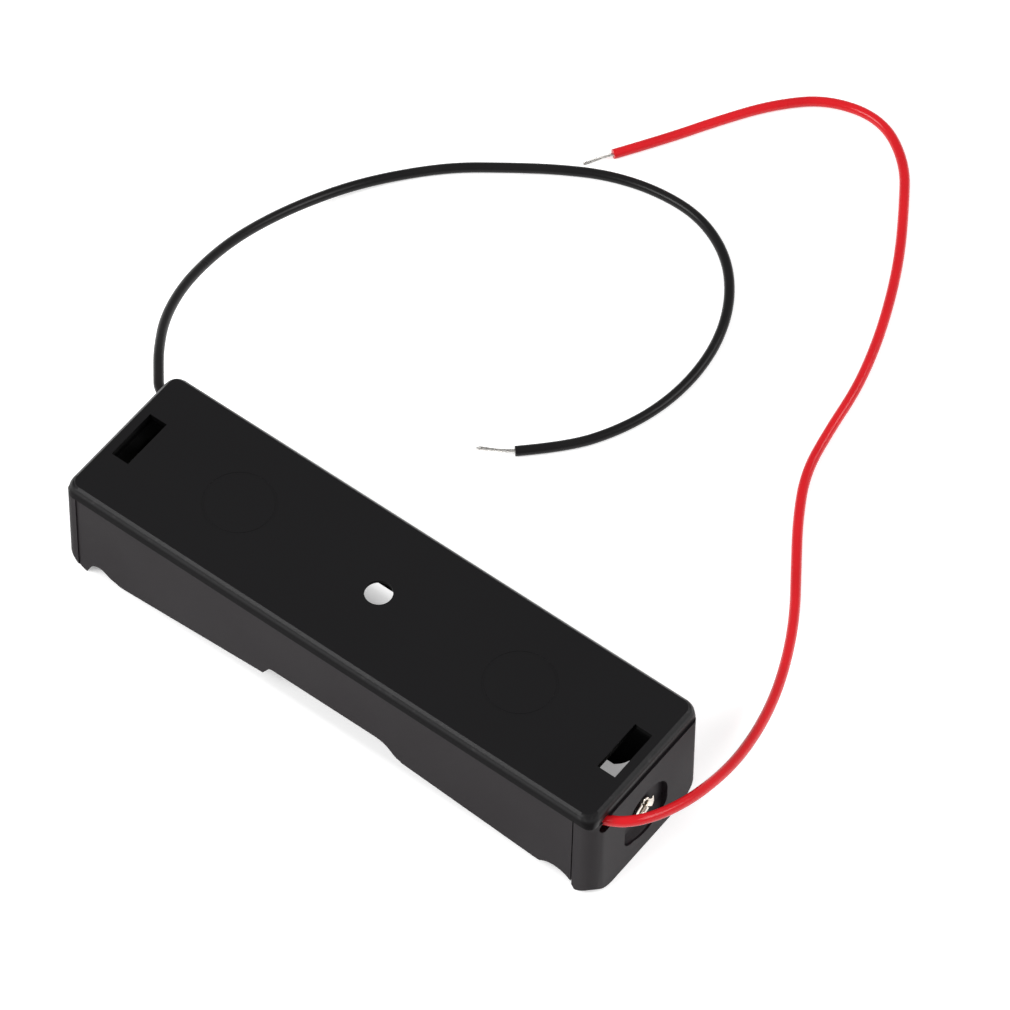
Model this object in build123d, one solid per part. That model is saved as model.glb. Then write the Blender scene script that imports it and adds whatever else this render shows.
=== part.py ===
from build123d import *
import math
import os

# Holder for one 18650 cell, lying base up on its open side, with its two leads.
# X runs along the cell towards the positive end, Z is up, millimetres.
# The origin is on the surface, under the middle of the tray.

# Cell and space for it
cell_radius = 9.1
cell_clearance = 0.1
inner_length = 73.8

# Base plate
plate_length = 77.0
plate_width = 20.6
plate_corner = 1.2
plate_edge = 2.0
bevel_reach = 0.9
bevel_drop = 0.6
base_thickness = 1.0
total_height = 16.6

# Walls, which widen a little towards the open side
end_outside = 38.75
side_outside = 9.75
block_outside = 9.9
wall_draft = 0.39
lead_corner = 2.0
plain_corner = 1.0
lead_block_inside = 35.7
plain_block_inside = 37.2
seam_width = 0.25
seam_depth = 0.3
toe_centre = 31.8
toe_reach = 2.45
toe_height = 3.8
corner_room = 8.9
room_fillet = 1.0

# Open rims, height above the surface at the outer face and at the inner lip
rim_outer_end = 1.35
rim_outer_middle = 2.95
rim_inner_end = 0.05
rim_inner_middle = 2.7
rim_flat = 9.0
rim_slope_outer = 30.3
rim_slope_inner = 28.2
rim_end = 31.4
lip_reach = 7.0

# Openings in the base and the end walls
slot_from = 34.25
slot_to = 36.75
slot_half = 3.6
screw_hole = 3.4
countersink = 4.4
ring_offset = 20.5
ring_diameter = 8.6
ring_width = 0.3
ring_depth = 0.04
recess_width = 8.2
recess_middle = 6.9
recess_bottom = 3.5
recess_corner = 1.8
recess_depth = 0.8
ramp_top = 4.9
ramp_step = 0.2
lead_hole = 2.4
lead_hole_side = 7.6
lead_hole_height = 13.6

# Polarity marks on the inner face of the base
mark_offset = 27.0
mark_arm = 4.4
mark_line = 0.9
mark_depth = 0.35

# Contacts, springs and rivets
strip = 0.35
contact_height = 7.2
contact_half = 4.0
contact_top = 11.2
contact_bottom = 3.2
lug_side = 7.9
lug_half = 1.3
tongue_half = 2.4
spring_wire = 0.8
spring_radius = 3.2
spring_turns = 4
spring_length = 11.6
spring_taper = 6.0
shank = 2.8
rivet_bore = 2.1
rivet_head = 4.2
rivet_flare = 3.7
petals = 5
petal_gap = 0.45

# Leads
lead_diameter = 1.3
strand_bundle = 0.45
floor_line = lead_diameter / 2

plate_under = total_height - plate_edge
base_inside = total_height - base_thickness
room_radius = cell_radius + cell_clearance
cell_axis = base_inside - room_radius
inner_end = inner_length / 2
end_face = end_outside + 0.05
recess_floor = end_face - recess_depth


def tapered_band(half_length, half_width, lead_radius, plain_radius):
    """A closed outline drawn under the plate and carried down to the surface, widening by the draft."""
    outline = Rectangle(2 * half_length, 2 * half_width)
    lead_corners = [corner for corner in outline.vertices() if corner.X * corner.Y < 0]
    outline = fillet(lead_corners, lead_radius)
    plain_corners = [corner for corner in outline.vertices() if corner.X * corner.Y > 0]
    outline = fillet(plain_corners, plain_radius)
    return extrude(Plane.XY.offset(plate_under) * outline, amount=-plate_under, taper=-wall_draft)


def base_plate():
    outline = Plane.XY.offset(plate_under) * RectangleRounded(plate_length, plate_width, plate_corner)
    plate = extrude(outline, amount=plate_edge)
    top = plate.faces().sort_by(Axis.Z)[-1]
    return chamfer(top.edges(), length=bevel_reach, length2=bevel_drop, reference=top)


def cell_room():
    """The cell's round bed, which closes in under it as two lips, and the square room above its middle."""
    bed = Pos(0, cell_axis) * Circle(room_radius)
    upper = Pos(0, (cell_axis + base_inside) / 2) * Rectangle(2 * corner_room, base_inside - cell_axis)
    upper_corners = upper.vertices().group_by(Axis.Y)[-1]
    section = bed + fillet(upper_corners, room_fillet)
    return extrude(Plane.YZ * section, amount=inner_end, both=True)


def rim_profile(y, outer_share):
    """The long rim's outline at one depth in the wall, from the inner lip (0) to the outer face (1)."""
    end = rim_inner_end + (rim_outer_end - rim_inner_end) * outer_share
    middle = rim_inner_middle + (rim_outer_middle - rim_inner_middle) * outer_share
    slope_end = rim_slope_inner + (rim_slope_outer - rim_slope_inner) * outer_share
    below = -3.0
    outline = Polyline(
        (-rim_end, below),
        (-rim_end, end),
        (-slope_end, end),
        (-rim_flat, middle),
        (rim_flat, middle),
        (slope_end, end),
        (rim_end, end),
        (rim_end, below),
        close=True,
    )
    plane = Plane(origin=(0, y, 0), x_dir=(1, 0, 0), z_dir=(0, -1, 0))
    return plane * make_face(outline)


def rim_cut(side):
    """A twisted cut: level across the wall at its middle, sloping outwards near its ends."""
    wall = block_outside + 0.1 - lip_reach
    past = 0.6
    outer = rim_profile(side * (block_outside + 0.1 + past), 1 + past / wall)
    inner = rim_profile(side * (lip_reach - past), -past / wall)
    return loft([outer, inner], ruled=True)


def lead_notch():
    """The arched notch beside the block that a lead leaves by, cut through the near wall's foot."""
    crest = Spline(
        (29.4, -0.4),
        (30.0, 0.3),
        (30.6, 0.9),
        (31.3, 1.55),
        (32.6, 2.15),
        (34.0, 2.05),
        (35.2, 1.4),
        (36.3, -0.4),
    )
    profile = make_face(crest + Line((36.3, -0.4), (29.4, -0.4)))
    return extrude(Plane.XZ * profile, amount=12)


def plain_notch():
    """The longer, lower notch beside the other block, cut through the far wall's foot."""
    crest = Spline(
        (28.6, -0.4),
        (29.55, 0.07),
        (30.55, 0.68),
        (31.2, 1.3),
        (32.4, 1.68),
        (33.9, 2.43),
        (35.0, 2.1),
        (35.8, 0.74),
        (36.6, -0.4),
    )
    profile = make_face(crest + Line((36.6, -0.4), (28.6, -0.4)))
    return extrude(Plane.XZ * profile, amount=-12)


def toe_cut():
    """What the far right block's foot loses: its corner is rounded upwards along the diagonal."""
    limit = toe_centre + 4
    shift = (end_outside - block_outside) / 2
    arc = EllipticalCenterArc((toe_centre, toe_height), toe_reach, toe_height, start_angle=270, arc_size=90)
    outside = Polyline(arc @ 1, (limit, toe_height), (limit, -1), (toe_centre, -1), arc @ 0)
    diagonal = Plane(origin=(shift, -shift, 0), x_dir=(1, 1, 0), z_dir=(1, -1, 0))
    return extrude(diagonal * make_face(arc + outside), amount=6, both=True)


def seam():
    """The narrow groove between the near right block and the long wall beside it."""
    groove = Box(seam_width, 2, plate_under, align=(Align.MAX, Align.MAX, Align.MIN))
    return Pos(lead_block_inside, -side_outside + seam_depth, 0) * groove


def finger_cut():
    """The shallow cut in the middle of the near wall, steep on the left and eased on the right."""
    left = Spline((-9.5, 3.0), (-9.0, 3.75), (-8.1, 4.6), tangents=[(0.5, 1), (1, 0)])
    right = Spline((7.0, 4.75), (9.1, 4.0), (10.8, 2.95), tangents=[(1, 0), (1, -0.1)])
    top = Line((-8.1, 4.6), (7.0, 4.75))
    foot = Polyline((10.8, 2.95), (10.8, 0.0), (-9.5, 0.0), (-9.5, 3.0))
    profile = make_face(left + top + right + foot)
    near = Plane(origin=(0, -lip_reach + 2, 0), x_dir=(1, 0, 0), z_dir=(0, -1, 0))
    return extrude(near * profile, amount=8)


def rivet_recess():
    """Round above and flat below, with a floor that ramps up to a low step at its foot."""
    drop = recess_middle - recess_bottom
    foot = Pos(0, -drop / 2) * Rectangle(recess_width, drop)
    foot = fillet(foot.vertices().group_by(Axis.Y)[0], recess_corner)
    end_plane = Plane(origin=(recess_floor, 0, recess_middle), x_dir=(0, 1, 0), z_dir=(1, 0, 0))
    opening = extrude(end_plane * (Circle(recess_width / 2) + foot), amount=3)
    depths = Polyline(
        (recess_floor, recess_middle + recess_width),
        (recess_floor, ramp_top),
        (end_face - ramp_step, recess_bottom),
        (end_face - ramp_step, recess_bottom - 1),
        (end_face + 1, recess_bottom - 1),
        (end_face + 1, recess_middle + recess_width),
        close=True,
    )
    return opening & extrude(Plane.XZ * make_face(depths), amount=recess_width, both=True)


def end_openings():
    """What opens the positive end: the slot, the rivet's recess and hole, and the lead's hole."""
    slot_middle = (slot_from + slot_to) / 2
    slot = Pos(slot_middle, 0, base_inside) * Box(slot_to - slot_from, 2 * slot_half, 4 * base_thickness)
    rivet_plane = Plane(origin=(recess_floor, 0, contact_height), z_dir=(1, 0, 0))
    rivet_hole = extrude(rivet_plane * Circle(shank / 2), amount=-3)
    lead_plane = Plane(origin=(inner_end - 1, -lead_hole_side, lead_hole_height), z_dir=(1, 0, 0))
    lead_way = extrude(lead_plane * Circle(lead_hole / 2), amount=4)
    return [slot, rivet_recess(), rivet_hole, lead_way]


def centre_hole():
    hole = Pos(0, 0, base_inside) * Cylinder(screw_hole / 2, 4 * base_thickness)
    depth = (countersink - screw_hole) / 2
    cone = Pos(0, 0, base_inside + depth / 2) * Cone(countersink / 2, screw_hole / 2, depth)
    return [hole, cone]


def witness_ring(x):
    ring = Circle((ring_diameter + ring_width) / 2) - Circle((ring_diameter - ring_width) / 2)
    return extrude(Pos(x, 0, total_height) * ring, amount=-ring_depth)


def polarity_marks():
    """A plus and a minus sunk into the inner face of the base, each beside its own contact."""
    arm = Rectangle(mark_arm, mark_line)
    plus = arm + Rectangle(mark_line, mark_arm)
    plus_cut = extrude(Pos(mark_offset, 0, base_inside) * plus, amount=mark_depth)
    minus = Rectangle(mark_line, mark_arm)
    minus_cut = extrude(Pos(-mark_offset, 0, base_inside) * minus, amount=mark_depth)
    return [plus_cut, minus_cut]


def holder_tray():
    half_turn = Rot(0, 0, 180)
    middle = tapered_band(end_outside - 1, side_outside, 0.4, 0.4)
    ends = tapered_band(end_outside, block_outside, lead_corner, plain_corner)
    gap_length = lead_block_inside + plain_block_inside
    gap_middle = (lead_block_inside - plain_block_inside) / 2
    gap = Box(gap_length, 2 * block_outside, 2 * total_height)
    gap = Pos(gap_middle, -block_outside, total_height / 2) * gap
    ends -= [gap, half_turn * gap]
    tray = base_plate() + middle + ends
    tray -= cell_room()
    for side in (-1, 1):
        tray -= rim_cut(side)
    cuts = [lead_notch(), plain_notch(), seam(), toe_cut(), toe_cut().mirror(Plane.XZ)]
    cuts += end_openings()
    tray -= cuts
    tray -= [half_turn * cut for cut in cuts]
    tray -= finger_cut()
    tray -= centre_hole()
    tray -= [witness_ring(-ring_offset), witness_ring(ring_offset)]
    tray -= polarity_marks()
    return tray


def contact_plate():
    """The strip that lies on the inside of the end wall, with its arm and lug towards the lead's hole."""
    wall_plane = Plane(origin=(inner_end, 0, 0), x_dir=(0, -1, 0), z_dir=(-1, 0, 0))
    middle = (contact_top + contact_bottom) / 2
    body = Pos(0, middle) * RectangleRounded(2 * contact_half, contact_top - contact_bottom, 0.8)
    arm = Pos(lug_side / 2, contact_top - lug_half) * Rectangle(lug_side, 1.6)
    lug = Pos(lug_side - lug_half, contact_top - lug_half) * Circle(lug_half)
    eye = Pos(0, contact_height) * Circle(shank / 2)
    outline = body + arm + lug - eye
    return extrude(wall_plane * outline, amount=strip)


def positive_contact():
    """The plate with a bowed tongue folded up from its lower edge, which presses on the cell's cap."""
    face = inner_end - strip
    path = FilletPolyline(
        (face + strip / 2, contact_bottom + 1.0),
        (face + strip / 2, contact_bottom - 0.6),
        (face - 1.3, contact_bottom - 0.3),
        (face - 2.2, contact_height),
        (face - 1.0, contact_top - 0.8),
        radius=[0.45, 0.45, 3.0],
    )
    tongue = extrude(Plane.XZ * trace(path, strip), amount=tongue_half, both=True)
    return contact_plate() + tongue


def negative_contact():
    """The plate of the other end, with two curled tabs that hold the spring's seat turn."""
    plate = Rot(0, 0, 180) * contact_plate()
    seat = Plane(origin=(-inner_end + strip, 0, contact_height), x_dir=(0, 0, 1), z_dir=(1, 0, 0))
    inside = spring_radius + spring_wire / 2 + 0.05
    lip = spring_wire + 0.1
    hook = Polyline(
        (inside + 0.3, -0.05),
        (inside + 0.3, lip + 0.3),
        (inside - 0.8, lip + 0.3),
        (inside - 0.8, lip),
        (inside, lip),
        (inside, -0.05),
        close=True,
    )
    tab = extrude(Plane.XZ * make_face(hook), amount=0.9, both=True)
    return plate + [seat * tab, seat * Rot(0, 0, 180) * tab]


def spring_line():
    """A tapering coil whose first and last turns lie flat for two thirds of a turn."""
    flat_turn = 240
    free_turns = 360 * spring_turns
    rise = spring_length - spring_wire
    points = []
    for angle in range(-flat_turn, free_turns + flat_turn + 1, 30):
        share = min(max(angle / free_turns, 0), 1)
        radius = spring_radius - share * rise * math.tan(math.radians(spring_taper))
        turn = math.radians(angle)
        points.append((radius * math.cos(turn), radius * math.sin(turn), share * rise))
    return Spline(*points)


def negative_spring():
    """The coil, whose wide flat turn sits on the contact plate under the two tabs."""
    face = -inner_end + strip + spring_wire / 2 + 0.05
    path = spring_line()
    start = Plane(origin=path @ 0, z_dir=path % 0)
    coil = sweep(start * Circle(spring_wire / 2), path=path, is_frenet=True)
    seat = Plane(origin=(face, 0, contact_height), x_dir=(0, 0, 1), z_dir=(1, 0, 0))
    return seat * Rot(0, 0, 8) * coil


def rivet():
    """A hollow rivet of the positive end: head inside, shank in the wall, end split and flared outside."""
    inside = inner_end - strip
    half_bore = rivet_bore / 2
    half_shank = shank / 2
    lip = 0.3
    section = Polyline(
        (half_bore, inside - lip),
        (rivet_head / 2, inside - lip),
        (rivet_head / 2, inside),
        (half_shank, inside),
        (half_shank, recess_floor),
        (rivet_flare / 2, recess_floor + 0.25),
        (rivet_flare / 2 - 0.1, recess_floor + 0.5),
        (half_shank + 0.1, recess_floor + 0.5),
        (half_bore, recess_floor + 0.2),
        close=True,
    )
    body = revolve(Plane.YZ * make_face(section), Axis.Z)
    splits = []
    for index in range(petals):
        gap = Pos(half_shank + 1.0, 0, recess_floor + 1.0) * Box(2.0, petal_gap, 2.0)
        splits.append(Rot(0, 0, index * 360 / petals + 20) * gap)
    body -= splits
    seat = Plane(origin=(0, 0, contact_height), x_dir=(0, 1, 0), z_dir=(1, 0, 0))
    return seat * body


def round_path(points, radii):
    return FilletPolyline(*points, radius=radii)


def corner_radii(points):
    """The largest tangent arc at each corner: 0.45 of the shorter run over the tangent of half the turn."""
    radii = []
    for before, here, after in zip(points, points[1:], points[2:]):
        arriving = Vector(*here) - Vector(*before)
        leaving = Vector(*after) - Vector(*here)
        half_turn = math.radians(arriving.get_angle(leaving)) / 2
        radii.append(0.45 * min(arriving.length, leaving.length) / math.tan(half_turn))
    return radii


def tube(name, points, diameter):
    """One piece of cord along straight runs and tangent arcs, with its length, radii and volume printed."""
    radii = corner_radii(points)
    path = round_path(points, radii)
    start = Plane(origin=path @ 0, z_dir=path % 0)
    body = sweep(start * Circle(diameter / 2), path=path)
    expected = math.pi * diameter**2 / 4 * path.length
    print(name, "length", round(path.length, 1), "smallest radius", round(min(radii), 2))
    print(name, "radii", [round(radius, 1) for radius in radii])
    print(name, "volume", round(body.volume, 2), "expected", round(expected, 2))
    return body


# The leads' routes, from inside their holes to the cut ends of their insulation
red_route = [
    (36.5, -7.9, 13.5),
    (39.2, -7.25, 14.0),
    (41.4, -5.3, 14.0),
    (42.8, -1.7, 12.8),
    (43.6, 3.3, 11.1),
    (43.4, 10.2, 8.5),
    (42.2, 16.7, 6.3),
    (40.2, 23.2, 4.2),
    (37.5, 29.5, 2.6),
    (34.2, 35.6, 1.4),
    (30.2, 41.4, 0.8),
    (26.2, 47.2, floor_line),
    (22.8, 53.4, floor_line),
    (21.4, 60.3, floor_line),
    (20.4, 67.3, floor_line),
    (18.4, 74.1, floor_line),
    (15.8, 80.6, floor_line),
    (12.7, 86.9, floor_line),
    (9.0, 92.9, floor_line),
    (5.0, 98.8, floor_line),
    (-1.2, 102.6, floor_line),
    (-8.4, 101.0, floor_line),
    (-13.4, 95.9, floor_line),
    (-17.1, 89.9, floor_line),
    (-20.5, 83.7, floor_line),
    (-24.2, 77.8, floor_line),
]
black_route = [
    (-36.5, 7.9, 13.5),
    (-39.2, 8.1, 13.6),
    (-41.7, 11.1, 13.2),
    (-43.8, 13.7, 12.6),
    (-46.9, 18.5, 10.9),
    (-49.1, 24.2, 9.0),
    (-50.3, 30.1, 7.0),
    (-50.7, 36.2, 5.1),
    (-50.1, 42.3, 3.4),
    (-48.6, 48.4, 2.0),
    (-46.2, 54.2, 1.1),
    (-42.7, 59.5, floor_line),
    (-38.4, 64.2, floor_line),
    (-33.3, 68.1, floor_line),
    (-28.1, 71.8, floor_line),
    (-22.6, 74.9, floor_line),
    (-16.4, 76.6, floor_line),
    (-10.0, 76.6, floor_line),
    (-4.1, 73.9, floor_line),
    (0.2, 69.2, floor_line),
    (2.9, 63.3, floor_line),
    (3.9, 57.0, floor_line),
    (3.4, 50.6, floor_line),
    (1.4, 44.6, floor_line),
    (-1.9, 39.1, floor_line),
    (-6.5, 34.7, floor_line),
]
red_tip_route = [
    (-24.2, 77.8, floor_line),
    (-25.2, 76.21, floor_line),
    (-26.2, 74.3, floor_line),
]
black_tip_route = [
    (-6.5, 34.7, floor_line),
    (-8.11, 33.16, floor_line),
    (-10.5, 32.3, floor_line),
]


def half_turned(point):
    return (-point[0], -point[1], point[2])


def solder_joint(lead_start, lead_next):
    """The stripped inner end of a lead, bent down to its lug, and the solder round it."""
    lug_face = inner_end - strip
    lug_height = contact_top - lug_half
    lug_y = -(lug_side - lug_half)
    start = Vector(*lead_start)
    straight_on = start + (start - Vector(*lead_next)).normalized() * 0.9
    above_lug = (lug_face - 0.7, lug_y - 0.5, lug_height + 1.6)
    on_lug = (lug_face - 0.45, lug_y, lug_height)
    path = round_path([start, straight_on, above_lug, on_lug], [0.5, 0.8])
    section = Plane(origin=path @ 0, z_dir=path % 0)
    strands = sweep(section * Circle(strand_bundle / 2), path=path)
    drop = scale(Sphere(lug_half * 0.85), by=(0.7, 1, 1))
    keep = Pos(-5, 0, 0) * Box(10, 10, 10)
    drop = Pos(lug_face, lug_y, lug_height) * (drop & keep)
    return strands + drop


def write(name, shape):
    export_step(shape, os.path.join("parts", name + ".step"))


def main():
    os.makedirs("parts", exist_ok=True)
    half_turn = Rot(0, 0, 180)
    write("holder_tray", holder_tray())
    write("positive_contact", positive_contact())
    write("negative_contact", negative_contact())
    write("negative_spring", negative_spring())
    write("positive_rivet", rivet())
    write("negative_rivet", half_turn * rivet())
    write("positive_solder", solder_joint(red_route[0], red_route[1]))
    other_end = solder_joint(half_turned(black_route[0]), half_turned(black_route[1]))
    write("negative_solder", half_turn * other_end)
    write("red_lead", tube("red_lead", red_route, lead_diameter))
    write("black_lead", tube("black_lead", black_route, lead_diameter))
    write("red_lead_strands", tube("red_lead_strands", red_tip_route, strand_bundle))
    write("black_lead_strands", tube("black_lead_strands", black_tip_route, strand_bundle))


main()
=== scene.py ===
# %% [markdown]
# # A holder for one cylindrical cell, base up, with its two leads
# The real thing is one moulding in black plastic, two nickel-plated contacts held by hollow
# rivets, a spring, and two thin leads with bare ends. The solids come from the CAD model as a
# fixed frame. This lesson gives them their finishes, and models again what solids show too
# plainly: the soft leads, their strands and the rivets' torn lips.

# %% Load the frame
import math

import bpy
from mathutils import Matrix, Vector


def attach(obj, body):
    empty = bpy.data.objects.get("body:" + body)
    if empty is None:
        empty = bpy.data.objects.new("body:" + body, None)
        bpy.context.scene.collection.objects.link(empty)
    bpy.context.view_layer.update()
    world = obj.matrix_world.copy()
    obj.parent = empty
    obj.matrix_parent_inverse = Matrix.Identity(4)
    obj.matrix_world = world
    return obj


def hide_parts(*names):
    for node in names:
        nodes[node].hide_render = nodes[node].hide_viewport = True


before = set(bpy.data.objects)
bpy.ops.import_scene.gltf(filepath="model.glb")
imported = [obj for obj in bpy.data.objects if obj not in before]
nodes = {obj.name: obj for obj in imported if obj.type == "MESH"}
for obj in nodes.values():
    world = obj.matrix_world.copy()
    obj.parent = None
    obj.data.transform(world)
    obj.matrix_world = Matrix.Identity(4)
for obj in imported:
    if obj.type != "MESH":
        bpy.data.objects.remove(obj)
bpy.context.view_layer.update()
MM = 0.001


def clear_selection():
    for thing in bpy.context.selected_objects:
        thing.select_set(False)
    bpy.context.view_layer.objects.active = None


def pick(piece):
    clear_selection()
    piece.select_set(True)
    bpy.context.view_layer.objects.active = piece


clear_selection()

# %% [markdown]
# ## The camera
# A photograph's angle can be found by eye, but a long thin tray shows every error. The camera
# was fitted to the tray's straight edges: nearly 55 degrees above the table, a long lens from
# less than a metre away, and tilted by one degree.

# %% A place that looks at a point, for the camera and the lamps
def aimed_at(point, azimuth, elevation, distance, roll=0.0):
    around = math.radians(azimuth)
    above = math.radians(elevation)
    away = Vector(
        (
            math.sin(around) * math.cos(above),
            -math.cos(around) * math.cos(above),
            math.sin(above),
        )
    )
    turn = (-away).to_track_quat("-Z", "Y").to_matrix()
    turn = turn @ Matrix.Rotation(math.radians(roll), 3, "Z")
    return Matrix.Translation(point + away * distance) @ turn.to_4x4()


# %% Camera, with its angles in degrees
CAMERA_AZIMUTH = 36.59
CAMERA_ELEVATION = 54.89
CAMERA_ROLL = 0.99
CAMERA_DISTANCE = 0.856
CAMERA_TARGET = Vector((0.84, 23.0, 9.0)) * MM
CAMERA_LENS = 259.7
SENSOR_WIDTH = 36.0


def make_camera():
    data = bpy.data.cameras.new("photo_camera")
    data.sensor_width = SENSOR_WIDTH
    data.lens = CAMERA_LENS
    data.clip_start = 0.05
    data.clip_end = 20.0
    camera = bpy.data.objects.new("photo_camera", data)
    bpy.context.scene.collection.objects.link(camera)
    camera.matrix_world = aimed_at(
        CAMERA_TARGET, CAMERA_AZIMUTH, CAMERA_ELEVATION, CAMERA_DISTANCE, CAMERA_ROLL
    )
    return camera


camera = make_camera()
bpy.context.scene.camera = camera
bpy.context.scene.view_settings.view_transform = "Standard"
print("camera at", [round(v, 4) for v in camera.location])

# %% [markdown]
# ## The leads
# Each lead is a fixed length of thin wire in soft PVC. It leaves its hole just under the base,
# springs outwards, sinks to the table within about 50 mm and lies in a loose curve. A chain of
# tubes would look like bent rod, so the CAD route's points become the control points of one
# NURBS line, which rounds every corner by itself.

# %% Lead routes, in millimetres, from inside the holes to where the insulation is cut
LEAD_DIAMETER = 1.3
FLOOR_LINE = LEAD_DIAMETER / 2
RED_ROUTE = [
    (36.5, -7.9, 13.5),
    (39.2, -7.25, 14.0),
    (41.4, -5.3, 14.0),
    (42.8, -1.7, 12.8),
    (43.6, 3.3, 11.1),
    (43.4, 10.2, 8.5),
    (42.2, 16.7, 6.3),
    (40.2, 23.2, 4.2),
    (37.5, 29.5, 2.6),
    (34.2, 35.6, 1.4),
    (30.2, 41.4, 0.8),
    (26.2, 47.2, FLOOR_LINE),
    (22.8, 53.4, FLOOR_LINE),
    (21.4, 60.3, FLOOR_LINE),
    (20.4, 67.3, FLOOR_LINE),
    (18.4, 74.1, FLOOR_LINE),
    (15.8, 80.6, FLOOR_LINE),
    (12.7, 86.9, FLOOR_LINE),
    (9.0, 92.9, FLOOR_LINE),
    (5.0, 98.8, FLOOR_LINE),
    (-1.2, 102.6, FLOOR_LINE),
    (-8.4, 101.0, FLOOR_LINE),
    (-13.4, 95.9, FLOOR_LINE),
    (-17.1, 89.9, FLOOR_LINE),
    (-20.5, 83.7, FLOOR_LINE),
    (-24.2, 77.8, FLOOR_LINE),
]
BLACK_ROUTE = [
    (-36.5, 7.9, 13.5),
    (-39.2, 8.1, 13.6),
    (-41.7, 11.1, 13.2),
    (-43.8, 13.7, 12.6),
    (-46.9, 18.5, 10.9),
    (-49.1, 24.2, 9.0),
    (-50.3, 30.1, 7.0),
    (-50.7, 36.2, 5.1),
    (-50.1, 42.3, 3.4),
    (-48.6, 48.4, 2.0),
    (-46.2, 54.2, 1.1),
    (-42.7, 59.5, FLOOR_LINE),
    (-38.4, 64.2, FLOOR_LINE),
    (-33.3, 68.1, FLOOR_LINE),
    (-28.1, 71.8, FLOOR_LINE),
    (-22.6, 74.9, FLOOR_LINE),
    (-16.4, 76.6, FLOOR_LINE),
    (-10.0, 76.6, FLOOR_LINE),
    (-4.1, 73.9, FLOOR_LINE),
    (0.2, 69.2, FLOOR_LINE),
    (2.9, 63.3, FLOOR_LINE),
    (3.9, 57.0, FLOOR_LINE),
    (3.4, 50.6, FLOOR_LINE),
    (1.4, 44.6, FLOOR_LINE),
    (-1.9, 39.1, FLOOR_LINE),
    (-6.5, 34.7, FLOOR_LINE),
]
RED_TIP = [
    (-23.9, 78.2, FLOOR_LINE),
    (-24.6, 77.2, FLOOR_LINE),
    (-25.4, 75.9, 0.6),
    (-26.2, 74.4, 0.55),
]
BLACK_TIP = [
    (-6.1, 35.1, FLOOR_LINE),
    (-7.3, 34.1, FLOOR_LINE),
    (-8.8, 33.2, 0.6),
    (-10.5, 32.3, 0.55),
]

# %% One smooth line along a route
LINE_STEPS = 10
ROUND_STEPS = 7


def soft_line(name, route, radius):
    data = bpy.data.curves.new(name, "CURVE")
    data.dimensions = "3D"
    spline = data.splines.new("NURBS")
    spline.points.add(len(route) - 1)
    for point, place in zip(spline.points, route):
        point.co = (place[0] * MM, place[1] * MM, place[2] * MM, 1.0)
    spline.order_u = 3
    spline.use_endpoint_u = True
    spline.resolution_u = LINE_STEPS
    data.bevel_depth = radius * MM
    data.bevel_resolution = ROUND_STEPS
    data.use_fill_caps = radius > 0
    piece = bpy.data.objects.new(name, data)
    bpy.context.scene.collection.objects.link(piece)
    return piece


red_lead = soft_line("red_lead_insulation", RED_ROUTE, LEAD_DIAMETER / 2)
black_lead = soft_line("black_lead_insulation", BLACK_ROUTE, LEAD_DIAMETER / 2)
print("leads", len(RED_ROUTE), "and", len(BLACK_ROUTE), "control points")

# %% [markdown]
# ## The bare ends
# Under the PVC are a few tinned copper strands in a slow twist. Four to five millimetres are
# stripped, and the strands stay together but never quite straight. Each strand follows the
# tip's own NURBS line at a small distance, turning as it goes and opening a little at the end.
# Its first half millimetre lies inside the insulation, which is solid here.

# %% Points along a line that has no thickness yet
STRANDS = 7
STRAND_RADIUS = 0.075
STRAND_SPACING = 2 * STRAND_RADIUS
STEPS_CUT_SHORT = (0, 2, 1, 3, 0, 1, 0)
RED_OPENING = (0.0, 0.05, 0.02, 0.08, 0.03, 0.06)
BLACK_OPENING = (0.04, 0.0, 0.06, 0.02, 0.05, 0.0)


def points_along(route, name):
    guide = soft_line(name, route, 0.0)
    shown = guide.evaluated_get(bpy.context.evaluated_depsgraph_get())
    mesh = bpy.data.meshes.new_from_object(shown)
    places = [vertex.co.copy() for vertex in mesh.vertices]
    bpy.data.meshes.remove(mesh)
    bpy.data.objects.remove(guide)
    return places


# %% Strands twisted round that line
def twisted_strands(name, route, twist, opening):
    line = points_along(route, name + "_guide")
    steps = len(line) - 1
    strands = []
    for index in range(STRANDS):
        places = []
        for step, place in enumerate(line):
            ahead = line[min(step + 1, steps)] - line[max(step - 1, 0)]
            across = ahead.cross(Vector((0, 0, 1))).normalized()
            upward = across.cross(ahead).normalized()
            share = step / steps
            turn = twist * share * 2 * math.pi + index * 2 * math.pi / (STRANDS - 1)
            away = 0.0 if index == STRANDS - 1 else STRAND_SPACING + opening[index] * share**3
            offset = (across * math.cos(turn) + upward * math.sin(turn)) * away
            places.append(place / MM + offset)
        kept = places[: len(places) - STEPS_CUT_SHORT[index]]
        strands.append(soft_line(f"{name}_{index}", kept, STRAND_RADIUS))
    clear_selection()
    for strand in strands:
        strand.select_set(True)
    bpy.context.view_layer.objects.active = strands[0]
    bpy.ops.object.convert(target="MESH")
    bpy.ops.object.join()
    bundle = bpy.context.view_layer.objects.active
    bundle.name = name
    bpy.ops.object.shade_smooth_by_angle(angle=math.radians(50))
    clear_selection()
    return bundle


red_strands = twisted_strands("red_lead_bare_end", RED_TIP, 1.1, RED_OPENING)
black_strands = twisted_strands("black_lead_bare_end", BLACK_TIP, 0.9, BLACK_OPENING)
print("strands", len(red_strands.data.polygons), "faces each")

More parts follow.
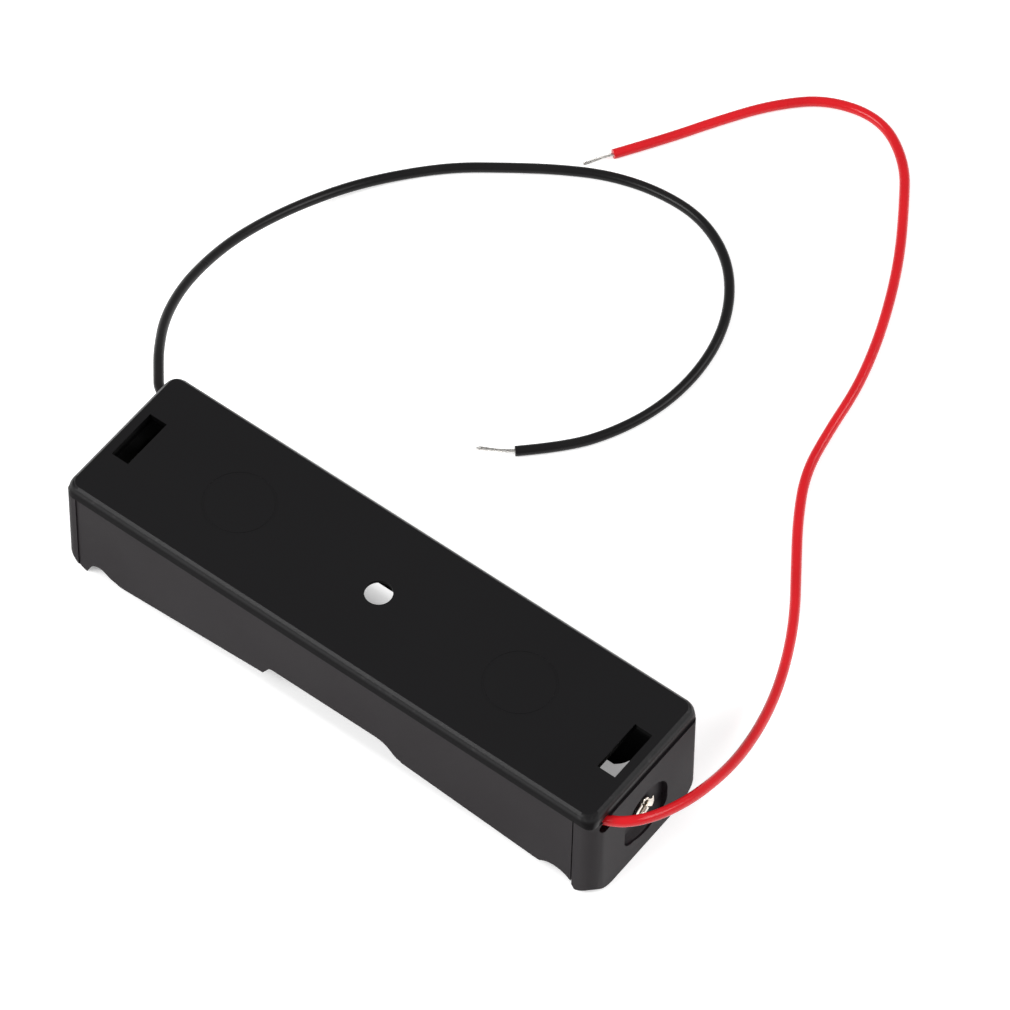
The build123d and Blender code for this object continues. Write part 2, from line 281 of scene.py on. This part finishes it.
# %% [markdown]
# ## The rivets
# A hollow rivet goes through the contact and the end wall, and a punch splits its end into
# petals and rolls them back. The petals are never alike. The tube starts as a ring that is
# extruded and scaled along the rivet's outline. Then slits are cut in its lip, and each petal
# is pushed a little on its own before the sheet gets its thickness.

# %% The rivet's outline: distance along the holder and radius of each ring
RIVET_HEIGHT = 7.2
RIVET_COLUMNS = 40
RIVET_RINGS = [
    (36.28, 2.02),
    (36.36, 1.62),
    (36.50, 1.28),
    (36.90, 1.20),
    (37.80, 1.20),
    (38.12, 1.20),
    (38.34, 1.26),
    (38.46, 1.42),
    (38.42, 1.62),
    (38.26, 1.74),
]
PETAL_SLITS = (3, 11, 18, 27, 35)
PETAL_REACH = (0.08, -0.16, 0.02, -0.12, 0.10)
PETAL_LIFT = (0.10, -0.12, 0.16, -0.04, -0.14)
LIP_START = 38.25
PETAL_START = 38.0
PETAL_MIDDLE = 38.2
PETAL_INNER_RADIUS = 1.35
RIVET_SHEET = 0.22


# %% A ring drawn out along the outline
def deselect_parts(piece):
    pick(piece)
    bpy.ops.object.mode_set(mode="EDIT")
    bpy.ops.mesh.select_all(action="DESELECT")
    bpy.ops.object.mode_set(mode="OBJECT")


def rivet_sheet(name):
    first = RIVET_RINGS[0]
    clear_selection()
    bpy.ops.mesh.primitive_circle_add(
        vertices=RIVET_COLUMNS,
        radius=first[1] * MM,
        location=(first[0] * MM, 0, RIVET_HEIGHT * MM),
        rotation=(0, math.pi / 2, 0),
    )
    piece = bpy.context.active_object
    piece.name = name
    bpy.ops.object.transform_apply(location=True, rotation=True, scale=True)
    bpy.ops.object.mode_set(mode="EDIT")
    bpy.ops.mesh.select_all(action="SELECT")
    for before, after in zip(RIVET_RINGS, RIVET_RINGS[1:]):
        bpy.ops.mesh.extrude_edges_move()
        bpy.ops.transform.translate(value=((after[0] - before[0]) * MM, 0, 0))
        centre = (after[0] * MM, 0, RIVET_HEIGHT * MM)
        grow = after[1] / before[1]
        bpy.ops.transform.resize(value=(1, grow, grow), center_override=centre)
    bpy.ops.object.mode_set(mode="OBJECT")
    return piece


# %% Slits, uneven petals and a thickness
def column_of(place):
    turn = math.atan2(place.z - RIVET_HEIGHT * MM, place.y) / (2 * math.pi)
    return (turn % 1.0) * RIVET_COLUMNS


def petal_of(column):
    for petal, slit in enumerate(PETAL_SLITS):
        if column < slit:
            return petal
    return 0


def split_petals(piece):
    deselect_parts(piece)
    for face in piece.data.polygons:
        column = int(column_of(face.center))
        face.select = face.center.x > LIP_START * MM and column in PETAL_SLITS
    bpy.ops.object.mode_set(mode="EDIT")
    bpy.ops.mesh.delete(type="FACE")
    bpy.ops.object.mode_set(mode="OBJECT")
    for petal in range(len(PETAL_SLITS)):
        deselect_parts(piece)
        for vertex in piece.data.vertices:
            radius = math.hypot(vertex.co.y, vertex.co.z - RIVET_HEIGHT * MM)
            outer = radius > PETAL_INNER_RADIUS * MM and vertex.co.x > PETAL_START * MM
            vertex.select = outer and petal_of(column_of(vertex.co)) == petal
        bpy.ops.object.mode_set(mode="EDIT")
        middle = (PETAL_MIDDLE * MM, 0, RIVET_HEIGHT * MM)
        grow = 1 + PETAL_REACH[petal]
        bpy.ops.transform.resize(value=(1, grow, grow), center_override=middle)
        bpy.ops.transform.translate(value=(PETAL_LIFT[petal] * MM, 0, 0))
        bpy.ops.object.mode_set(mode="OBJECT")


def thicken(piece):
    pick(piece)
    bpy.ops.object.mode_set(mode="EDIT")
    bpy.ops.mesh.select_all(action="SELECT")
    bpy.ops.mesh.normals_make_consistent(inside=False)
    bpy.ops.object.mode_set(mode="OBJECT")
    solid = piece.modifiers.new("sheet", "SOLIDIFY")
    solid.thickness = RIVET_SHEET * MM
    solid.offset = 0.0
    smooth = piece.modifiers.new("soft", "SUBSURF")
    smooth.levels = 2
    smooth.render_levels = 2
    bpy.ops.object.modifier_apply(modifier="sheet")
    bpy.ops.object.modifier_apply(modifier="soft")
    bpy.ops.object.shade_smooth()
    clear_selection()


positive_eyelet = rivet_sheet("positive_eyelet")
split_petals(positive_eyelet)
thicken(positive_eyelet)

# %% The other end has the same rivet, turned half a turn about the holder's upright axis
pick(positive_eyelet)
bpy.ops.object.duplicate(linked=False)
negative_eyelet = bpy.context.active_object
negative_eyelet.name = "negative_eyelet"
negative_eyelet.rotation_euler = (0, 0, math.pi)
bpy.ops.object.transform_apply(location=True, rotation=True, scale=True)
clear_selection()
print("rivets", len(positive_eyelet.data.polygons), "faces each")


# %% [markdown]
# ## The tray's rolled rim
# The CAD base has a plain chamfer round its top. On the moulding that edge is rolled over, also
# round the corners: it leaves the top at a slant and turns down to the walls in one sweep, which
# shows as a streak of light that fades downwards. The CAD mesh itself is never changed, so a
# merged copy of the tray stands in for it. Its chamfer's upper edge moves outwards, its corners
# grow rounder, and its lower edge becomes a wide bevel.

# %% A copy of the tray as one closed mesh
BASE_HALVES = (38.5, 10.3)
CHAMFER_REACH = 0.9
CHAMFER_FOOT = 16.0
CHAMFER_HEAD = 16.6
RIM_REACH = 0.62
RIM_ROLL = 0.45
HEAD_CORNER_GROWTH = 4.0
FOOT_CORNER_GROWTH = 1.45
OUTLINE_INSIDE = (37.4, 9.2)
HEIGHT_SLACK = 0.02
BETWEEN_MARGIN = 0.05
ROLL_STEPS = 8
MERGE_DISTANCE = 0.002
FLAT_ANGLE = 0.5


def merged_copy(node, name):
    piece = bpy.data.objects.new(name, node.data.copy())
    bpy.context.scene.collection.objects.link(piece)
    deselect_parts(piece)
    bpy.ops.object.mode_set(mode="EDIT")
    bpy.ops.mesh.select_all(action="SELECT")
    bpy.ops.mesh.remove_doubles(threshold=MERGE_DISTANCE * MM)
    bpy.ops.mesh.dissolve_limited(angle_limit=math.radians(FLAT_ANGLE), delimit={"NORMAL"})
    bpy.ops.mesh.customdata_custom_splitnormals_clear()
    bpy.ops.object.mode_set(mode="OBJECT")
    return piece


# %% Points and edges of the base's outline between two heights
def pick_rim(piece, low, high, quarter=None):
    deselect_parts(piece)
    points = piece.data.vertices
    for point in points:
        place = point.co / MM
        outer = abs(place.x) > OUTLINE_INSIDE[0] or abs(place.y) > OUTLINE_INSIDE[1]
        if quarter:
            outer = outer and place.x * quarter[0] > 0 and place.y * quarter[1] > 0
        point.select = outer and low < place.z < high
    for line in piece.data.edges:
        line.select = points[line.vertices[0]].select and points[line.vertices[1]].select
    bpy.ops.object.mode_set(mode="EDIT")


def pick_loop(piece, height, quarter=None):
    pick_rim(piece, height - HEIGHT_SLACK, height + HEIGHT_SLACK, quarter)


# %% Each corner's arc grows about the point where the straight edges would meet
def round_corners(piece, height, halves, growth):
    for x_side, y_side in ((-1, -1), (-1, 1), (1, -1), (1, 1)):
        pick_loop(piece, height, (x_side, y_side))
        corner = (x_side * halves[0] * MM, y_side * halves[1] * MM, 0)
        bpy.ops.transform.resize(value=(growth, growth, 1), center_override=corner)
        bpy.ops.object.mode_set(mode="OBJECT")


def roll_rim(piece):
    bpy.context.tool_settings.mesh_select_mode = (True, False, False)
    pick_rim(piece, CHAMFER_FOOT + BETWEEN_MARGIN, CHAMFER_HEAD - BETWEEN_MARGIN)
    bpy.ops.mesh.dissolve_verts()
    bpy.ops.object.mode_set(mode="OBJECT")
    pick_loop(piece, CHAMFER_HEAD)
    head_halves = [half - RIM_REACH for half in BASE_HALVES]
    wider = [head / (half - CHAMFER_REACH) for head, half in zip(head_halves, BASE_HALVES)]
    bpy.ops.transform.resize(value=(*wider, 1), center_override=(0, 0, CHAMFER_HEAD * MM))
    bpy.ops.object.mode_set(mode="OBJECT")
    round_corners(piece, CHAMFER_HEAD, head_halves, HEAD_CORNER_GROWTH)
    round_corners(piece, CHAMFER_FOOT, BASE_HALVES, FOOT_CORNER_GROWTH)
    bpy.context.tool_settings.mesh_select_mode = (False, True, False)
    pick_loop(piece, CHAMFER_FOOT)
    bpy.ops.mesh.bevel(
        offset_type="OFFSET", offset=RIM_ROLL * MM, segments=ROLL_STEPS, affect="EDGES"
    )
    bpy.ops.object.mode_set(mode="OBJECT")


tray = merged_copy(nodes["holder_tray"], "moulded_tray")
roll_rim(tray)
print("tray", len(tray.data.polygons), "faces")

# %% [markdown]
# No other moulded edge is quite sharp either. A narrow bevel catches the light along each one,
# and the shading follows the large faces, so that the flat walls stay flat.

# %% Edge bevel, its width in millimetres and its angles in degrees
EDGE_BEVEL = 0.12
EDGE_ANGLE = 40
SHADING_ANGLE = 25


def soften_edges(piece, width, angle):
    pick(piece)
    bevel = piece.modifiers.new("edge", "BEVEL")
    bevel.width = width * MM
    bevel.segments = 4
    bevel.limit_method = "ANGLE"
    bevel.angle_limit = math.radians(angle)
    bevel.use_clamp_overlap = True
    bpy.ops.object.modifier_apply(modifier="edge")
    bpy.ops.object.shade_smooth_by_angle(angle=math.radians(SHADING_ANGLE))
    shading = piece.modifiers.new("flat_faces", "WEIGHTED_NORMAL")
    shading.mode = "FACE_AREA"
    shading.weight = 100
    shading.keep_sharp = True
    bpy.ops.object.modifier_apply(modifier="flat_faces")
    clear_selection()


soften_edges(tray, EDGE_BEVEL, EDGE_ANGLE)
print("tray with soft edges", len(tray.data.polygons), "faces")

# %% [markdown]
# ## Finishes
# A finish is more than its colour. On a holder as small as this the eye reads moulded plastic
# from a fine grain that softens the light, PVC from a soft waxy gloss, and nickel from what it
# mirrors. Every pattern is drawn in object coordinates, in metres, so it keeps its real size.

# %% A blank finish with its pattern space
def blank_finish(name, colour, roughness, metallic=0.0):
    material = bpy.data.materials.new(name)
    material.use_nodes = True
    tree = material.node_tree
    shader = tree.nodes["Principled BSDF"]
    shader.inputs["Base Color"].default_value = (*colour, 1.0)
    shader.inputs["Roughness"].default_value = roughness
    shader.inputs["Metallic"].default_value = metallic
    place = tree.nodes.new("ShaderNodeTexCoord")
    return material, tree, shader, place


def noise(tree, place, scale, detail=3.0, stretch=None):
    texture = tree.nodes.new("ShaderNodeTexNoise")
    texture.inputs["Scale"].default_value = scale
    texture.inputs["Detail"].default_value = detail
    vector = place.outputs["Object"]
    if stretch:
        mapping = tree.nodes.new("ShaderNodeMapping")
        mapping.inputs["Scale"].default_value = stretch
        tree.links.new(vector, mapping.inputs["Vector"])
        vector = mapping.outputs["Vector"]
    tree.links.new(vector, texture.inputs["Vector"])
    return texture.outputs["Fac"]


def spread(tree, value, low, high, start=0.3, end=0.7):
    reach = tree.nodes.new("ShaderNodeMapRange")
    reach.inputs["From Min"].default_value = start
    reach.inputs["From Max"].default_value = end
    reach.inputs["To Min"].default_value = low
    reach.inputs["To Max"].default_value = high
    tree.links.new(value, reach.inputs["Value"])
    return reach.outputs["Result"]


def blend(tree, share, first, second):
    mix = tree.nodes.new("ShaderNodeMix")
    mix.data_type = "RGBA"
    for socket, value in ((mix.inputs["A"], first), (mix.inputs["B"], second)):
        if isinstance(value, tuple):
            socket.default_value = (*value, 1.0)
        else:
            tree.links.new(value, socket)
    tree.links.new(share, mix.inputs["Factor"])
    return mix.outputs["Result"]


def relief(tree, shader, height, depth, strength=1.0):
    bump = tree.nodes.new("ShaderNodeBump")
    bump.inputs["Distance"].default_value = depth
    bump.inputs["Strength"].default_value = strength
    tree.links.new(height, bump.inputs["Height"])
    tree.links.new(bump.outputs["Normal"], shader.inputs["Normal"])


# %% [markdown]
# ### Moulded black plastic
# The tray is satin plastic straight from the tool. In the photograph the base looks smooth, and
# the walls rougher and paler, so the one finish has zones by place: the walls, the rim with a
# few pale rubs, a low rim whose darker colour and weaker shine are painted shade at the foot
# of the rolled rim, mostly along the long sides, and an inside made darker and less shiny as
# painted shade. Their limits and strengths were tuned against the photograph.

# %% Plain sums on shader values
def combine(tree, operation, first, second):
    node = tree.nodes.new("ShaderNodeMath")
    node.operation = operation
    for socket, value in zip(node.inputs, (first, second)):
        if isinstance(value, (int, float)):
            socket.default_value = value
        else:
            tree.links.new(value, socket)
    return node.outputs[0]


def split_axes(tree, vector):
    split = tree.nodes.new("ShaderNodeSeparateXYZ")
    tree.links.new(vector, split.inputs["Vector"])
    return split


# %% Soft-edged stretches of a shader value, in millimetres
def below(tree, value, edge):
    return spread(tree, value, 1.0, 0.0, edge[0] * MM, edge[1] * MM)


def above(tree, value, edge):
    return spread(tree, value, 0.0, 1.0, edge[0] * MM, edge[1] * MM)


def within(tree, value, reach, soft):
    size = combine(tree, "ABSOLUTE", value, 0.0)
    return below(tree, size, (reach - soft, reach + soft))


def within_box(tree, split, halves, soft):
    along = within(tree, split.outputs["X"], halves[0], soft[0])
    return combine(tree, "MULTIPLY", along, within(tree, split.outputs["Y"], halves[1], soft[1]))


# %% The tray's zones, by height above the table and reach from the middle
WALL_HEAD = (14.55, 14.68)
LOW_RIM_HEAD = (15.6, 16.1)
RIM_FOOT = (15.8, 16.05)
RIM_HEAD = (16.56, 16.6)
INSIDE_HEAD = (16.48, 16.55)
BASE_MIDDLE = (37.1, 9.2)
LONG_SIDE_END = 38.35
ZONE_EDGE = 0.1
LOW_RIM_AT_ENDS = 0.3


def tray_zones(tree, place):
    split = split_axes(tree, place.outputs["Object"])
    height = split.outputs["Z"]
    wall = below(tree, height, WALL_HEAD)
    long_side = within(tree, split.outputs["X"], LONG_SIDE_END, ZONE_EDGE)
    long_side = spread(tree, long_side, LOW_RIM_AT_ENDS, 1.0, 0.0, 1.0)
    # Low rim: painted shade at the foot of the rolled rim, strongest along the long sides.
    low_rim_shade = combine(tree, "MAXIMUM", long_side, wall)
    low_rim_shade = combine(tree, "MULTIPLY", below(tree, height, LOW_RIM_HEAD), low_rim_shade)
    middle = within_box(tree, split, BASE_MIDDLE, (ZONE_EDGE, ZONE_EDGE))
    rim = combine(tree, "SUBTRACT", above(tree, height, RIM_FOOT), middle)
    rim = combine(tree, "MULTIPLY", rim, below(tree, height, RIM_HEAD))
    rim = combine(tree, "MAXIMUM", rim, 0.0)
    # Inside: painted shade in the cavity, darker and less shiny.
    inside = combine(tree, "MULTIPLY", middle, below(tree, height, INSIDE_HEAD))
    return wall, low_rim_shade, rim, inside


# %% Moulded plastic, with the colour and shine of each zone
BASE_BLACK = (0.009, 0.0087, 0.0093)
# The low rim's darker colour and weaker shine are painted shade.
LOW_RIM_SHADE_BLACK = (0.0075, 0.007, 0.0075)
WALL_BLACK = (0.0120, 0.0092, 0.0108)
# The inside's near-black colour is painted shade in the cavity.
INSIDE_SHADE_BLACK = (0.0025, 0.0024, 0.0026)
RUBBED_BLACK = (0.022, 0.021, 0.022)
BASE_SHINE = 0.15
LOW_RIM_SHADE_SHINE = 0.012
WALL_SHINE = 0.085
RIM_SHINE = 0.1
INSIDE_SHINE_SHARE = 0.25
WALL_ROUGHER = 0.1


def moulded_plastic():
    material, tree, shader, place = blank_finish("moulded_black_plastic", BASE_BLACK, 0.4)
    flow = noise(tree, place, 60.0, 2.0)
    grain = noise(tree, place, 5200.0, 2.0)
    rubs = noise(tree, place, 900.0, 6.0)
    wall, low_rim_shade, rim, inside = tray_zones(tree, place)
    worn = combine(tree, "MULTIPLY", rim, spread(tree, rubs, 0.0, 1.0, 0.6, 0.74))
    # The low rim gets painted shade in its colour.
    colour = blend(tree, low_rim_shade, BASE_BLACK, LOW_RIM_SHADE_BLACK)
    colour = blend(tree, wall, colour, WALL_BLACK)
    # The inside gets painted shade in its colour.
    colour = blend(tree, inside, colour, INSIDE_SHADE_BLACK)
    colour = blend(tree, worn, colour, RUBBED_BLACK)
    tree.links.new(colour, shader.inputs["Base Color"])
    rougher = combine(tree, "MULTIPLY", wall, WALL_ROUGHER)
    satin = combine(tree, "ADD", spread(tree, flow, 0.34, 0.4), rougher)
    tree.links.new(satin, shader.inputs["Roughness"])
    # The low rim's weaker shine is painted shade too.
    shine = spread(tree, low_rim_shade, BASE_SHINE, LOW_RIM_SHADE_SHINE, 0.0, 1.0)
    shine = combine(tree, "ADD", shine, combine(tree, "MULTIPLY", wall, WALL_SHINE))
    shine = combine(tree, "ADD", shine, combine(tree, "MULTIPLY", rim, RIM_SHINE))
    # Less shine inside is painted shade too.
    shaded_inside_shine = spread(tree, inside, 1.0, INSIDE_SHINE_SHARE, 0.0, 1.0)
    shine = combine(tree, "MULTIPLY", shine, shaded_inside_shine)
    tree.links.new(shine, shader.inputs["Specular IOR Level"])
    relief(tree, shader, grain, 0.00002, 0.35)
    return material


# %% [markdown]
# ### Soft PVC, nickel, solder and tinned strands
# PVC has a low, broad gloss and tiny ripples in its surface. Nickel plate is a
# mirror with fine rolling lines on strip, and smooth on wire. Solder is brighter and wavy.

# %% Soft PVC
def soft_pvc(name, colour, deep, roughness, shine):
    material, tree, shader, place = blank_finish(name, colour, roughness)
    shader.inputs["Specular IOR Level"].default_value = shine
    slow = noise(tree, place, 140.0, 2.0)
    ripple = noise(tree, place, 1500.0, 2.0)
    tree.links.new(blend(tree, spread(tree, slow, 0.0, 1.0), colour, deep), shader.inputs["Base Color"])
    tree.links.new(spread(tree, slow, roughness - 0.05, roughness + 0.06), shader.inputs["Roughness"])
    relief(tree, shader, ripple, 0.00002, 0.3)
    return material


# %% Metals
def plated_metal(name, colour, roughness, scale, stretch=None, depth=0.000004):
    material, tree, shader, place = blank_finish(name, colour, roughness, 1.0)
    lines = noise(tree, place, scale, 4.0, stretch)
    tree.links.new(spread(tree, lines, roughness - 0.06, roughness + 0.1), shader.inputs["Roughness"])
    relief(tree, shader, lines, depth, 0.6)
    return material


tray_finish = moulded_plastic()
red_finish = soft_pvc("red_pvc", (0.70, 0.012, 0.018), (0.61, 0.008, 0.014), 0.22, 0.28)
black_finish = soft_pvc("black_pvc", (0.013, 0.0122, 0.0125), (0.008, 0.0077, 0.008), 0.28, 0.15)
strip_finish = plated_metal("nickel_strip", (0.54, 0.52, 0.48), 0.24, 900.0, (1.0, 0.08, 1.0))
wire_finish = plated_metal("nickel_wire", (0.66, 0.63, 0.58), 0.22, 1500.0)
rivet_finish = plated_metal("bright_rivet", (0.80, 0.74, 0.66), 0.16, 2400.0, None, 0.00001)
solder_finish = plated_metal("solder_joint", (0.72, 0.72, 0.72), 0.2, 1800.0, None, 0.00003)
strand_finish = plated_metal("tinned_strands", (0.78, 0.76, 0.73), 0.26, 3000.0)


# %% Each piece and its finish
def dress(piece, material):
    piece.data.materials.clear()
    piece.data.materials.append(material)


finishes = {
    tray: tray_finish,
    nodes["positive_contact"]: strip_finish,
    nodes["negative_contact"]: strip_finish,
    nodes["negative_spring"]: wire_finish,
    nodes["positive_solder"]: solder_finish,
    nodes["negative_solder"]: solder_finish,
    red_lead: red_finish,
    black_lead: black_finish,
    red_strands: strand_finish,
    black_strands: strand_finish,
    positive_eyelet: rivet_finish,
    negative_eyelet: rivet_finish,
}
for piece, finish in finishes.items():
    dress(piece, finish)
print("dressed", len(finishes), "pieces")


# %% [markdown]
# ## What each piece stands for
# Each piece rides on the holder's one body and hides the CAD parts it stands for.

# %% Riding and replacing
pieces = {
    tray: ("tray_plastic", ["holder_tray"]),
    red_lead: ("red_insulation", ["red_lead"]),
    black_lead: ("black_insulation", ["black_lead"]),
    red_strands: ("tinned_strands", ["red_lead_strands"]),
    black_strands: ("tinned_strands", ["black_lead_strands"]),
    positive_eyelet: ("rivet_nickel", ["positive_rivet"]),
    negative_eyelet: ("rivet_nickel", ["negative_rivet"]),
}
for piece, (finish_slot, stands_for) in pieces.items():
    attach(piece, "root")
    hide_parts(*stands_for)


# %% [markdown]
# ## Table and light
# The holder lies on a white table in a studio whose walls are palest at the horizon and fade
# into a darker ceiling. The base mirrors the ceiling, so it looks darker than the walls, which
# mirror the table. Two wide soft lamps light it. The table glows a little for the camera and for
# mirrors, so that it shows white, and glows less under the tray as a painted shadow, where it
# shows through the openings.

# %% Table
UNDER_TRAY = (37.0, 9.3)
UNDER_TRAY_EDGE = (1.0, 0.5)
TABLE_GLOW = 0.5
SHADOWED_TABLE_GLOW = 0.3


def seen_or_mirrored(tree):
    path = tree.nodes.new("ShaderNodeLightPath")
    seen = combine(tree, "MAXIMUM", path.outputs["Is Camera Ray"], path.outputs["Is Glossy Ray"])
    return combine(tree, "MAXIMUM", seen, path.outputs["Is Transmission Ray"])


def make_table():
    clear_selection()
    bpy.ops.mesh.primitive_plane_add(size=6.0, location=(0, 0, -0.00002))
    table = bpy.context.active_object
    table.name = "table"
    material, tree, shader, place = blank_finish("white_table", (0.9, 0.9, 0.9), 0.8)
    shader.inputs["Specular IOR Level"].default_value = 0.1
    split = split_axes(tree, place.outputs["Object"])
    # Under the tray the table glows less: a painted shadow where it shows through the openings.
    shadow_under_tray = within_box(tree, split, UNDER_TRAY, UNDER_TRAY_EDGE)
    strength = spread(tree, shadow_under_tray, TABLE_GLOW, SHADOWED_TABLE_GLOW, 0.0, 1.0)
    lift = combine(tree, "MULTIPLY", seen_or_mirrored(tree), strength)
    glow = tree.nodes.new("ShaderNodeEmission")
    tree.links.new(lift, glow.inputs["Strength"])
    both = tree.nodes.new("ShaderNodeAddShader")
    tree.links.new(shader.outputs["BSDF"], both.inputs[0])
    tree.links.new(glow.outputs["Emission"], both.inputs[1])
    tree.links.new(both.outputs["Shader"], tree.nodes["Material Output"].inputs["Surface"])
    dress(table, material)
    clear_selection()


make_table()

# %% Lamps
LIT_POINT = Vector((0.0, 0.03, 0.0))


def soft_lamp(name, azimuth, elevation, distance, size, power):
    data = bpy.data.lights.new(name, "AREA")
    data.shape = "RECTANGLE"
    data.size = size[0]
    data.size_y = size[1]
    data.energy = power
    lamp = bpy.data.objects.new(name, data)
    bpy.context.scene.collection.objects.link(lamp)
    lamp.matrix_world = aimed_at(LIT_POINT, azimuth, elevation, distance)
    print(name, "at", [round(v, 2) for v in lamp.matrix_world.translation])


soft_lamp("key_lamp", -30, 42, 1.1, (0.7, 0.5), 9.0)
soft_lamp("fill_lamp", 126, 40, 1.2, (0.8, 0.5), 7.0)

# %% Studio walls and ceiling
HORIZON_LIGHT = 0.75
CEILING_LIGHT = 0.36
CEILING_START = 0.4


def make_studio():
    world = bpy.data.worlds.new("studio")
    world.use_nodes = True
    tree = world.node_tree
    place = tree.nodes.new("ShaderNodeTexCoord")
    split = split_axes(tree, place.outputs["Generated"])
    ramp = tree.nodes.new("ShaderNodeValToRGB")
    horizon, ceiling = ramp.color_ramp.elements
    horizon.position = 0.0
    horizon.color = (HORIZON_LIGHT, HORIZON_LIGHT, HORIZON_LIGHT, 1.0)
    ceiling.position = CEILING_START
    ceiling.color = (CEILING_LIGHT, CEILING_LIGHT, CEILING_LIGHT, 1.0)
    tree.links.new(split.outputs["Z"], ramp.inputs["Fac"])
    tree.links.new(ramp.outputs["Color"], tree.nodes["Background"].inputs["Color"])
    tree.nodes["Background"].inputs["Strength"].default_value = 1.0
    bpy.context.scene.world = world


make_studio()
print("studio light", HORIZON_LIGHT, "at the horizon,", CEILING_LIGHT, "above")
